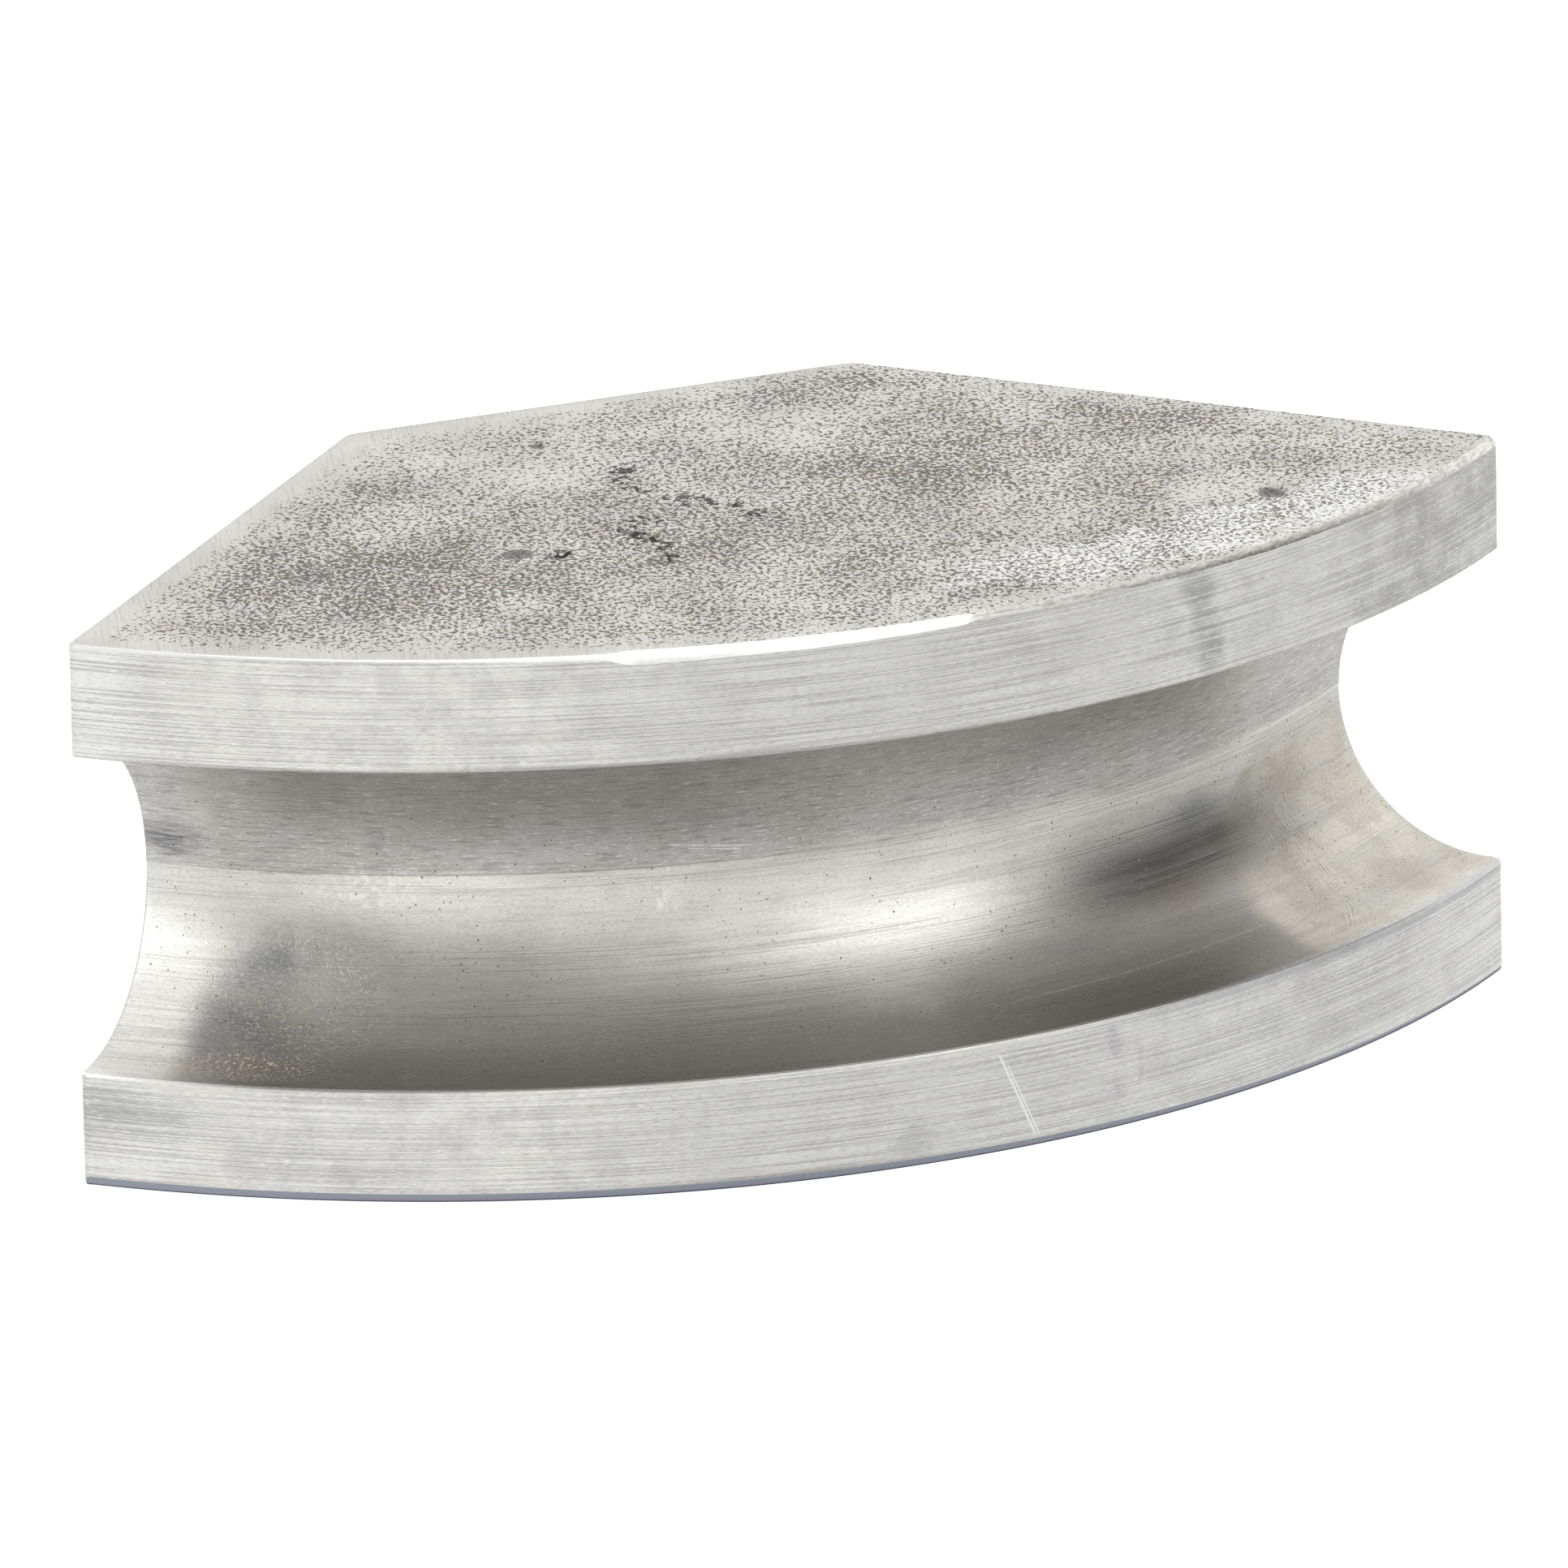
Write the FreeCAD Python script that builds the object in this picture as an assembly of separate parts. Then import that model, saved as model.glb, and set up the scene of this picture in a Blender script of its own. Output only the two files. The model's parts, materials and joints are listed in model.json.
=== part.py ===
import FreeCAD, Part
import math
import os

# Bending shoe of a hydraulic conduit bender: a cast aluminium block with a curved front, and a
# half-round conduit groove along it. The ram of the bender enters a steel socket in the flat back,
# and a sprung detent plunger, fitted from below, keeps the shoe on the ram.
# Millimetres. +Z is up and the curved front faces -Y. The origin is the middle of the underside.

# Conduit and bend
CONDUIT_OD = 60.33                  # two-inch rigid conduit
GROOVE_CLEARANCE = 0.135
BEND_RADIUS = 203.2                 # to the conduit's centre line
GROOVE_R = CONDUIT_OD / 2 + GROOVE_CLEARANCE

# Block
HEIGHT = 103.4
RIM_R = BEND_RADIUS + 2.2           # the flanges reach a little past the conduit's centre line
GROOVE_Z = HEIGHT / 2
END_ANGLE = math.radians(44.1)      # each end face, from the axis of symmetry
END_SETBACK = 4.2                   # the two end planes meet this far in front of the arc's centre
BACK_DISTANCE = 56.1                # the flat back, in front of the arc's centre
FRONT_CORNER_R = 1.5
BACK_CORNER_R = 2.0
TOP_CHAMFER = 1.0
BASE_CHAMFER = 1.2

# Ram socket, a flanged bush let into the back
RAM_CLEARANCE = 0.1
RAM_BORE_R = 38.1 / 2 + RAM_CLEARANCE
SOCKET_R = 27.0
SOCKET_LENGTH = 24.0
SOCKET_FLANGE_R = 42.0
SOCKET_FLANGE_T = 8.0
SOCKET_EDGE = 1.0
SEAT_CLEARANCE = 0.02
SCREW_CIRCLE_R = 35.0
SCREW_COUNT = 4

# Thrust pad, and the bore for the ram's pilot spigot
PAD_THICKNESS = 8.0
PILOT_R = 10.1
PILOT_EDGE = 0.8
RELIEF_R = 10.7                     # the casting's own bore clears the spigot
RELIEF_DEPTH = 24.0

# Countersunk M6 socket screws
SCREW_R = 3.0
SCREW_LENGTH = 22.0
SCREW_HEAD_R = 6.0
SCREW_HEAD_H = 3.0
SCREW_SUNK = 0.3
SCREW_KEY = 4.0
SCREW_KEY_DEPTH = 2.4

# Detent, from the underside up to the pilot bore
DETENT_FROM_PAD = 10.0
SLEEVE_R = 10.0
SLEEVE_BOTTOM_Z = 1.2
SLEEVE_TOP_Z = 35.0
SLEEVE_SHOULDER_Z = 30.0
SLEEVE_BORE_R = 6.0
SLEEVE_NOSE_R = 4.0
SLEEVE_SLOT = 3.0
SLEEVE_SLOT_DEPTH = 2.5
RUNNING_CLEARANCE = 0.05
NOSE_HOLE_CLEARANCE = 0.3
PLUNGER_REACH = 2.5                 # how far the nose stands inside the pilot bore's wall
PLUNGER_TRAVEL = 3.0
PLUNGER_HEAD_H = 8.0
PLUNGER_SPIGOT_R = 3.2
PLUNGER_SPIGOT_H = 4.0
PLUG_BOTTOM_Z = 2.0
PLUG_TOP_Z = 9.0
PLUG_KEY = 5.0
PLUG_KEY_DEPTH = 4.0
SPRING_WIRE_R = 0.6
SPRING_R = 4.6                      # to the middle of the wire
SPRING_DEAD_HALVES = 2              # half turns, close-wound at each end
SPRING_OPEN_HALVES = 9
SPRING_DEAD_RISE = 1.05 * SPRING_WIRE_R
SPRING_END_GAP = 0.02

# Places worked out from the sizes above
ARC_Y = (RIM_R + BACK_DISTANCE) / 2
BACK_Y = ARC_Y - BACK_DISTANCE
PAD_Y = BACK_Y - SOCKET_LENGTH
PILOT_Y = PAD_Y - PAD_THICKNESS
DETENT_Y = PILOT_Y - DETENT_FROM_PAD
PLUNGER_TIP_Z = GROOVE_Z - PILOT_R + PLUNGER_REACH
PLUNGER_NOSE_R = SLEEVE_NOSE_R - RUNNING_CLEARANCE
PLUNGER_SHOULDER_Z = SLEEVE_SHOULDER_Z - RUNNING_CLEARANCE
PLUNGER_HEAD_Z = PLUNGER_SHOULDER_Z - PLUNGER_HEAD_H

ORIGIN = FreeCAD.Vector(0, 0, 0)
UP = FreeCAD.Vector(0, 0, 1)
BACKWARD = FreeCAD.Vector(0, 1, 0)
FORWARD = FreeCAD.Vector(0, -1, 0)


def cylinder(radius, length, base, direction=UP):
    return Part.makeCylinder(radius, length, base, direction)


def on_ram_axis(y):
    return FreeCAD.Vector(0, y, GROOVE_Z)


def on_detent_axis(z):
    return FreeCAD.Vector(0, DETENT_Y, z)


def hexagon_prism(across_flats, length, base, direction):
    corner_r = across_flats / math.sqrt(3)
    corners = []
    for i in range(7):
        turn = math.radians(60 * i)
        corners.append(FreeCAD.Vector(corner_r * math.cos(turn), corner_r * math.sin(turn), 0))
    face = Part.Face(Part.makePolygon(corners))
    prism = face.extrude(FreeCAD.Vector(0, 0, length))
    prism.Placement = FreeCAD.Placement(base, FreeCAD.Rotation(UP, direction))
    return prism


def end_plane_x(y):
    """Half the block's width at this y, where the end faces are."""
    return (ARC_Y - END_SETBACK - y) * math.tan(END_ANGLE)


def front_corner():
    """Where an end plane meets the rim, on the +X side."""
    reach = math.sqrt(RIM_R**2 - (END_SETBACK * math.sin(END_ANGLE))**2)
    along = reach - END_SETBACK * math.cos(END_ANGLE)
    y = ARC_Y - END_SETBACK - along * math.cos(END_ANGLE)
    return FreeCAD.Vector(along * math.sin(END_ANGLE), y, 0)


def block():
    right = front_corner()
    left = FreeCAD.Vector(-right.x, right.y, 0)
    back_right = FreeCAD.Vector(end_plane_x(BACK_Y), BACK_Y, 0)
    back_left = FreeCAD.Vector(-back_right.x, BACK_Y, 0)
    front = FreeCAD.Vector(0, ARC_Y - RIM_R, 0)
    outline = Part.Wire([
        Part.Arc(right, front, left).toShape(),
        Part.LineSegment(left, back_left).toShape(),
        Part.LineSegment(back_left, back_right).toShape(),
        Part.LineSegment(back_right, right).toShape(),
    ])
    solid = Part.Face(outline).extrude(FreeCAD.Vector(0, 0, HEIGHT))
    solid = round_uprights(solid, lambda y: y < 0, FRONT_CORNER_R)
    solid = round_uprights(solid, lambda y: y > 0, BACK_CORNER_R)
    solid = solid.makeChamfer(TOP_CHAMFER, edges_at_height(solid, HEIGHT))
    return solid.makeChamfer(BASE_CHAMFER, edges_at_height(solid, 0))


def round_uprights(solid, keep, radius):
    uprights = []
    for edge in solid.Edges:
        box = edge.BoundBox
        if box.ZLength > HEIGHT - 1 and box.XLength < 0.01 and keep(box.Center.y):
            uprights.append(edge)
    return solid.makeFillet(radius, uprights)


def edges_at_height(solid, z):
    level = []
    for edge in solid.Edges:
        box = edge.BoundBox
        if abs(box.ZMin - z) < 0.001 and abs(box.ZMax - z) < 0.001:
            level.append(edge)
    return level


def bending_shoe():
    groove = Part.makeTorus(BEND_RADIUS, GROOVE_R, FreeCAD.Vector(0, ARC_Y, GROOVE_Z), UP)
    shoe = block().cut(groove)
    flange_floor = BACK_Y - SOCKET_FLANGE_T
    cuts = [
        cylinder(SOCKET_FLANGE_R + SEAT_CLEARANCE, SOCKET_FLANGE_T + 1, on_ram_axis(flange_floor), BACKWARD),
        cylinder(SOCKET_R + SEAT_CLEARANCE, SOCKET_LENGTH + PAD_THICKNESS, on_ram_axis(PILOT_Y), BACKWARD),
        cylinder(RELIEF_R, RELIEF_DEPTH + 1, on_ram_axis(PILOT_Y - RELIEF_DEPTH), BACKWARD),
        cylinder(SLEEVE_R, SLEEVE_TOP_Z + 1, on_detent_axis(-1)),
        cylinder(SLEEVE_NOSE_R + NOSE_HOLE_CLEARANCE, GROOVE_Z - SLEEVE_TOP_Z + 1,
                 on_detent_axis(SLEEVE_TOP_Z - 1)),
    ]
    for place in screw_places(BACK_Y - SCREW_SUNK):
        cuts.append(cylinder(SCREW_R, SCREW_LENGTH, place, FORWARD))
    return shoe.cut(Part.makeCompound(cuts))


def screw_places(y):
    places = []
    for i in range(SCREW_COUNT):
        turn = math.radians(45 + 360 * i / SCREW_COUNT)
        x = SCREW_CIRCLE_R * math.cos(turn)
        z = GROOVE_Z + SCREW_CIRCLE_R * math.sin(turn)
        places.append(FreeCAD.Vector(x, y, z))
    return places


def ram_socket():
    flange = cylinder(SOCKET_FLANGE_R, SOCKET_FLANGE_T, on_ram_axis(BACK_Y - SOCKET_FLANGE_T), BACKWARD)
    barrel = cylinder(SOCKET_R, SOCKET_LENGTH, on_ram_axis(PAD_Y), BACKWARD)
    bore = cylinder(RAM_BORE_R, SOCKET_LENGTH + 2, on_ram_axis(PAD_Y - 1), BACKWARD)
    mouth = Part.makeCone(RAM_BORE_R, RAM_BORE_R + SOCKET_EDGE, SOCKET_EDGE,
                          on_ram_axis(BACK_Y - SOCKET_EDGE), BACKWARD)
    socket = flange.fuse(barrel).removeSplitter().cut(bore).cut(mouth)
    for place in screw_places(BACK_Y):
        head = place + FORWARD * SCREW_SUNK
        socket = socket.cut(cylinder(SCREW_HEAD_R, SCREW_SUNK, head, BACKWARD))
        socket = socket.cut(screw_body(head))
    return socket


def thrust_pad():
    pad = cylinder(SOCKET_R, PAD_THICKNESS, on_ram_axis(PILOT_Y), BACKWARD)
    pilot = cylinder(PILOT_R, PAD_THICKNESS + 2, on_ram_axis(PILOT_Y - 1), BACKWARD)
    lead_in = Part.makeCone(PILOT_R, PILOT_R + PILOT_EDGE, PILOT_EDGE,
                            on_ram_axis(PAD_Y - PILOT_EDGE), BACKWARD)
    return pad.cut(pilot).cut(lead_in)


def screw_body(head):
    """A countersunk screw with its head's face at this point, going into the block."""
    cone = Part.makeCone(SCREW_HEAD_R, SCREW_R, SCREW_HEAD_H, head, FORWARD)
    return cone.fuse(cylinder(SCREW_R, SCREW_LENGTH - SCREW_SUNK, head, FORWARD)).removeSplitter()


def socket_screws():
    screws = []
    for head in screw_places(BACK_Y - SCREW_SUNK):
        key = hexagon_prism(SCREW_KEY, SCREW_KEY_DEPTH, head, FORWARD)
        screws.append(screw_body(head).cut(key))
    return Part.makeCompound(screws)


def detent_sleeve():
    length = SLEEVE_TOP_Z - SLEEVE_BOTTOM_Z
    sleeve = cylinder(SLEEVE_R, length, on_detent_axis(SLEEVE_BOTTOM_Z))
    bore = cylinder(SLEEVE_BORE_R, SLEEVE_SHOULDER_Z, on_detent_axis(0))
    nose = cylinder(SLEEVE_NOSE_R, SLEEVE_TOP_Z, on_detent_axis(1))
    slot = Part.makeBox(3 * SLEEVE_R, SLEEVE_SLOT, SLEEVE_SLOT_DEPTH)
    slot.translate(on_detent_axis(SLEEVE_BOTTOM_Z) - FreeCAD.Vector(1.5 * SLEEVE_R, SLEEVE_SLOT / 2, 0))
    return sleeve.cut(bore).cut(nose).cut(slot)


def detent_plunger():
    nose_length = PLUNGER_TIP_Z - PLUNGER_NOSE_R - PLUNGER_HEAD_Z
    nose = cylinder(PLUNGER_NOSE_R, nose_length, on_detent_axis(PLUNGER_HEAD_Z))
    tip = Part.makeSphere(PLUNGER_NOSE_R, on_detent_axis(PLUNGER_TIP_Z - PLUNGER_NOSE_R))
    head = cylinder(SLEEVE_BORE_R - RUNNING_CLEARANCE, PLUNGER_HEAD_H, on_detent_axis(PLUNGER_HEAD_Z))
    spigot = cylinder(PLUNGER_SPIGOT_R, PLUNGER_SPIGOT_H, on_detent_axis(PLUNGER_HEAD_Z - PLUNGER_SPIGOT_H))
    return nose.fuse([tip, head, spigot]).removeSplitter()


def half_coil(side, z, rise):
    """Half a turn of wire, level at both ends, from this side of the axis round to the other."""
    start = FreeCAD.Vector(side * SPRING_R, 0, -rise / 2)
    heading = FreeCAD.Vector(0, side, 0)
    section = Part.Face(Part.Wire(Part.makeCircle(SPRING_WIRE_R, start, heading)))
    coil = section.revolve(ORIGIN, start.cross(heading), 180)
    coil.translate(on_detent_axis(z + rise / 2))
    return coil


def detent_spring():
    """The coil: close-wound at both ends, and evenly open between them."""
    length = PLUNGER_HEAD_Z - PLUG_TOP_Z - 2 * (SPRING_WIRE_R + SPRING_END_GAP)
    open_rise = (length - 2 * SPRING_DEAD_HALVES * SPRING_DEAD_RISE) / SPRING_OPEN_HALVES
    dead = [SPRING_DEAD_RISE] * SPRING_DEAD_HALVES
    z = PLUG_TOP_Z + SPRING_WIRE_R + SPRING_END_GAP
    side = 1
    halves = []
    for rise in dead + [open_rise] * SPRING_OPEN_HALVES + dead:
        halves.append(half_coil(side, z, rise))
        z += rise
        side = -side
    return halves[0].fuse(halves[1:])


def detent_plug():
    plug = cylinder(SLEEVE_BORE_R, PLUG_TOP_Z - PLUG_BOTTOM_Z, on_detent_axis(PLUG_BOTTOM_Z))
    return plug.cut(hexagon_prism(PLUG_KEY, PLUG_KEY_DEPTH, on_detent_axis(PLUG_BOTTOM_Z), UP))


def main():
    os.makedirs("parts", exist_ok=True)
    makers = [
        bending_shoe,
        ram_socket,
        thrust_pad,
        socket_screws,
        detent_sleeve,
        detent_plunger,
        detent_spring,
        detent_plug,
    ]
    for maker in makers:
        shape = maker()
        name = maker.__name__
        if not shape.isValid():
            raise ValueError(f"{name} is not a valid shape")
        shape.exportStep(f"parts/{name}.step")
        box = shape.optimalBoundingBox(False)
        print(f"{name}: {len(shape.Solids)} solid(s), {shape.Volume / 1000:.2f} cm3, "
              f"x {box.XMin:.2f} {box.XMax:.2f}, y {box.YMin:.2f} {box.YMax:.2f}, z {box.ZMin:.2f} {box.ZMax:.2f}")


main()
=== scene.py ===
import bmesh
import bpy
import json
import math
import numpy as np
from mathutils import Matrix, Vector, noise

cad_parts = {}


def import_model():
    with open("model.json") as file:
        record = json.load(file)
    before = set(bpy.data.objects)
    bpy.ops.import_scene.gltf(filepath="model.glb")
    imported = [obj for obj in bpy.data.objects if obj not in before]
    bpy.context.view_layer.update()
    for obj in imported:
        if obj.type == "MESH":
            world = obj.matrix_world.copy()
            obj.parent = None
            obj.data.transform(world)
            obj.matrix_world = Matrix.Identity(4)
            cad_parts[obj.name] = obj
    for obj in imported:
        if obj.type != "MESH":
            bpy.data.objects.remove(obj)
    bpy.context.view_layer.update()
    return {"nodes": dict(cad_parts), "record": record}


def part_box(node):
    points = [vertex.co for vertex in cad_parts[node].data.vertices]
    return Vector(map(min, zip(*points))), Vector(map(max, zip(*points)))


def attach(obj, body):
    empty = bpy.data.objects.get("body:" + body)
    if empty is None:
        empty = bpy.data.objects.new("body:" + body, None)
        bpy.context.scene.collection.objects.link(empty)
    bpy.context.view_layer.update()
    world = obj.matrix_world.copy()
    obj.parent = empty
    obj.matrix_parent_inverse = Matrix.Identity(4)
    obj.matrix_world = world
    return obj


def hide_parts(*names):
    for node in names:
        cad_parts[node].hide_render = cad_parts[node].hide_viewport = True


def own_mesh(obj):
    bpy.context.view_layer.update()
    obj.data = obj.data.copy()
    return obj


# The bending shoe of a conduit bender. Lengths are in millimetres until a mesh is made, unless a
# name says otherwise. The curved, grooved front faces -Y and +Z is up.

MM = 0.001

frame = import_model()
mounts = {m["name"]: m for m in frame["record"]["mounts"]}

# The casting's sizes, from the frame where it gives them
shoe_low, shoe_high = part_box("bending_shoe")
HEIGHT = shoe_high.z / MM
FRONT_Y = shoe_low.y / MM
BACK_Y = shoe_high.y / MM
GROOVE_R = mounts["conduit_groove"]["dims"]["r_mm"]
GROOVE_Z = mounts["conduit_groove"]["pos_m"][2] / MM
BEND_RADIUS = 203.2
RIM_R = 205.4
ARC_Y = FRONT_Y + RIM_R
END_ANGLE = math.radians(44.1)
END_SETBACK = 4.2
RIGHT_END_RUN = np.array([-math.sin(END_ANGLE), math.cos(END_ANGLE)])    # from front to back
LIP_ANGLE = math.acos(-(RIM_R - BEND_RADIUS) / GROOVE_R)    # from the groove's middle line to its lips
LIP_RISE = GROOVE_R * math.sin(LIP_ANGLE)

# Its edges
LEFT_CORNER_R = 1.6
RIGHT_CORNER_R = 1.9
BACK_CORNER_R = 2.0
GROOVE_CORNER_R = 0.5
PLAIN_EDGE = 0.4
CORNER_FADE = 4.0            # how far behind the rims their corners have shrunk to the groove's
LIP_R = 0.4
LIP_INSET = 0.3              # the share of a lip's radius by which its middle row is set in
SHARP_ANGLE = math.radians(28)

# The witness step in the middle of the groove: how much deeper the lower half was cut, how far up and
# down the step is spread, the rows of points across it, the angle each way that is left to them, and
# the angle before each lip in which the step runs out
WITNESS_STEP = 0.07
WITNESS_SPREAD = 0.12
WITNESS_ROWS = (0.45, 0.3, 0.15, 0, -0.15, -0.3, -0.45)
WITNESS_ANGLE = 0.03
WITNESS_RUN_OUT = 0.1

# How much of the base's and the top's front edge was filed off: degrees from straight ahead, and
# millimetres. The top's also flutters: each wave is its height, radians for each degree, and phase
BASE_EDGE_SIZES = ((-43, 1.2), (0, 1.1), (43, 0.55))
ARRIS_SIZES = ((-38, 0.5), (-28, 0.6), (-18, 0.95), (-15.5, 1.1), (-14.5, 2.1), (-8, 1.85),
               (-2, 1.75), (3.2, 1.4), (3.8, 0.8), (20, 1.1), (43, 1.5))
ARRIS_WAVES = ((0.05, 0.9, 0), (0.03, 2.3, 1))

# The sections of the broken edges, from the flat face to the wall: how far in from the wall and how
# far from the face each ring of points is, for an edge of size 1
ARRIS_SECTION = ((1, 0), (0.45, 0.35), (0, 1))
BASE_EDGE_SECTION = ((1, 0), (0.35, 0.25), (0, 1.6))

# What the stored coordinates go by: how far beyond the groove's radius, up or down, a point may be and
# still be in it, and what is added to the distances from the top's edges, which were sanded less on
# the right: x where the change starts and ends, and millimetres there
GROOVE_SLACK = 0.02
FRONT_SANDING = ((-60, -10), (-2, 3.5))
BACK_SANDING = ((-20, 30), (-2, 2))

# How finely it is meshed
ARC_COLUMNS = 262
CORNER_COLUMNS = 4
TOP_ROWS = 140
BASE_ROWS = 36
BACK_ROWS = 12
GROOVE_ROWS = 96
RIM_ROWS = 20
BORE_STEPS = 128

# The sockets and holes cut in it: radii, and how far below the back or above the base they end
FLANGE_SEAT_R = 42.03
FLANGE_SEAT_DEPTH = 8.0
SOCKET_SEAT_R = 27.03
SOCKET_SEAT_DEPTH = 32.0
RELIEF_R = 10.7
RELIEF_DEPTH = 56.0
SCREW_CIRCLE_R = 35.0
SCREW_COUNT = 4
SCREW_R = 3.0
SCREW_DEPTH = 22.3
DETENT_Y = 32.65
DETENT_R = 10.01
DETENT_TOP = 35.0
NOSE_R = 4.3
NOSE_TOP = 46.0
SCREW_TURN = 45.0            # degrees from +X to the first screw
OVERRUN = 1.0                # how far outside the metal each cutter starts

# The detent's spring
WIRE_R = 0.6
WIRE_STEPS = 12
DEAD_TURNS = 1
DEAD_PITCH = 2.1 * WIRE_R
OPEN_TURNS = 4.5
TURN_STEPS = 48

# The top skin's waves: their size, where they are cut from the noise, how far the skin lies below
# its plane, and how high they are
WAVE_SIZE = 30
WAVE_SLICE = 3.0
WAVE_SINK = 0.06
WAVE_HEIGHT = 0.05

# Blow-holes in the top skin: x, y, radius, depth
BLOW_HOLES = (
    (90, -31, 2.6, 0.7),
    (-21, 53, 1.6, 0.5),
    (-41, -9, 1.5, 0.8),
    (-24, -5, 1.4, 0.7),
    (-22, -8, 1.2, 0.6),
    (-26, -1, 1.1, 0.5),
    (-2, 5, 1.4, 0.6),
    (-24, -21, 2.2, 0.3),
    (-49, -7, 4.0, 0.3),
)

# Zones of the casting's surface, each with its own material
TOP, ARRIS, RIM, GROOVE, END, BASE, BACK, BORE = range(8)


# ---------------------------------------------------------------- plan curves

def polar(radius, angle):
    """Plan points at this radius from the arc's centre, and this angle from straight ahead."""
    return np.stack([radius * np.sin(angle), ARC_Y - radius * np.cos(angle)], -1)


def end_angle_at(radius):
    """The angle from straight ahead at which a circle round the arc's centre meets an end plane."""
    return END_ANGLE - math.asin(END_SETBACK * math.sin(END_ANGLE) / radius)


def round_off(start, corner, end):
    """Points of a circular corner from start to end, both included."""
    a = (corner - start) / np.linalg.norm(corner - start)
    b = (end - corner) / np.linalg.norm(end - corner)
    weight = math.sqrt((1 + a @ b) / 2)
    t = np.linspace(0, 1, CORNER_COLUMNS + 1)[:, None]
    middle = 2 * t * (1 - t) * weight
    return ((1 - t) ** 2 * start + middle * corner + t**2 * end) / ((1 - t) ** 2 + middle + t**2)


def with_corners(line, left, right, left_r, right_r, side):
    """A plan line with a rounded corner at each end. side points away from it along the right end face."""
    left_corner = round_off(left + left_r * side * [-1, 1], left, line[0])
    right_corner = round_off(line[-1], right, right + right_r * side)
    return np.concatenate([left_corner[:-1], line, right_corner[1:]])


def front_path(radius, left_r, right_r):
    """Plan points across the curved front at one radius, from left to right."""
    end = end_angle_at(radius)
    line = polar(radius, np.linspace(-end + left_r / radius, end - right_r / radius, ARC_COLUMNS + 1))
    return with_corners(line, polar(radius, -end), polar(radius, end), left_r, right_r, RIGHT_END_RUN)


def back_path():
    """Plan points across the flat back, from left to right."""
    half = (ARC_Y - END_SETBACK - BACK_Y) * math.tan(END_ANGLE)
    inner = half - BACK_CORNER_R
    line = np.stack([np.linspace(-inner, inner, ARC_COLUMNS + 1), np.full(ARC_COLUMNS + 1, BACK_Y)], -1)
    return with_corners(line, np.array([-half, BACK_Y]), np.array([half, BACK_Y]),
                        BACK_CORNER_R, BACK_CORNER_R, -RIGHT_END_RUN)


def outward(loop):
    """Unit normals of a closed plan loop that runs anticlockwise."""
    along = np.roll(loop, -1, 0) - np.roll(loop, 1, 0)
    normal = np.stack([along[:, 1], -along[:, 0]], -1)
    return normal / np.linalg.norm(normal, axis=1, keepdims=True)


def coons(front, back, left, right):
    """A grid of plan points filled in between four curves: rows run from front to back."""
    u = np.linspace(0, 1, len(front))[None, :, None]
    v = np.linspace(0, 1, len(left))[:, None, None]
    ruled = (1 - v) * front[None] + v * back[None] + (1 - u) * left[:, None] + u * right[:, None]
    near = (1 - u) * front[0] + u * front[-1]
    far = (1 - u) * back[0] + u * back[-1]
    return ruled - (1 - v) * near - v * far


# ---------------------------------------------------------------- the casting's mesh

class Shell:
    """Vertices and faces of one mesh, built patch by patch."""

    def __init__(self):
        self.points = []
        self.count = 0
        self.faces = []
        self.zones = []

    def add(self, points):
        """Adds points of any array shape, and returns their indices in that shape."""
        points = np.asarray(points, float)
        index = np.arange(points[..., 0].size).reshape(points.shape[:-1]) + self.count
        self.points.append(points.reshape(-1, 3))
        self.count += index.size
        return index

    def all_points(self):
        return np.concatenate(self.points)

    def grid(self, index, zone):
        """Quads between neighbouring rows and columns of an index array."""
        index = np.asarray(index)
        quads = np.stack([index[:-1, :-1], index[:-1, 1:], index[1:, 1:], index[1:, :-1]], -1)
        self.faces.extend(quads.reshape(-1, 4).tolist())
        self.zones.extend([zone] * (quads.shape[0] * quads.shape[1]))

    def polygon(self, loop, zone):
        self.faces.append([int(i) for i in loop])
        self.zones.append(zone)

    def mesh(self, name):
        data = bpy.data.meshes.new(name)
        data.from_pydata(self.all_points() * MM, [], self.faces)
        data.polygons.foreach_set("material_index", self.zones)
        work = bmesh.new()
        work.from_mesh(data)
        bmesh.ops.recalc_face_normals(work, faces=work.faces)
        work.to_mesh(data)
        work.free()
        return data


def arris_size(angle):
    """How much of the top front edge was filed off, by angle in degrees from straight ahead."""
    flutter = sum(size * np.sin(angle * rate + phase) for size, rate, phase in ARRIS_WAVES)
    return np.interp(angle, *zip(*ARRIS_SIZES)) + flutter


def base_edge_size(angle):
    """The same for the base's front edge."""
    return np.interp(angle, *zip(*BASE_EDGE_SIZES))


def edge_ring(front_edge, back, rows):
    """The plan loop at the rim, its outward normals, and the size of the broken edge along it."""
    front = front_path(RIM_R, LEFT_CORNER_R, RIGHT_CORNER_R)
    share = np.linspace(0, 1, rows + 1)[1:-1, None]
    right = front[-1] + (back[-1] - front[-1]) * share
    left = back[0] + (front[0] - back[0]) * share
    loop = np.concatenate([front, right, back[::-1], left])
    edge = np.full(len(loop), PLAIN_EDGE)
    ramp = np.clip(np.arange(len(front)) / CORNER_COLUMNS, 0, 1)
    ramp = np.minimum(ramp, ramp[::-1])
    angle = np.degrees(np.arctan2(front[:, 0], ARC_Y - front[:, 1]))
    edge[:len(front)] += (front_edge(angle) - PLAIN_EDGE) * ramp
    return loop, outward(loop), edge


def runs(ring, columns, rows):
    """A ring's front, right, back and left runs of indices: left to right, or front to back."""
    corner = columns + rows - 1
    front = ring[:columns]
    right = ring[columns - 1:corner + 1]
    back = ring[corner:corner + columns][::-1]
    left = np.append(ring[corner + columns - 1:], ring[0])[::-1]
    return front, right, back, left


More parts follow.
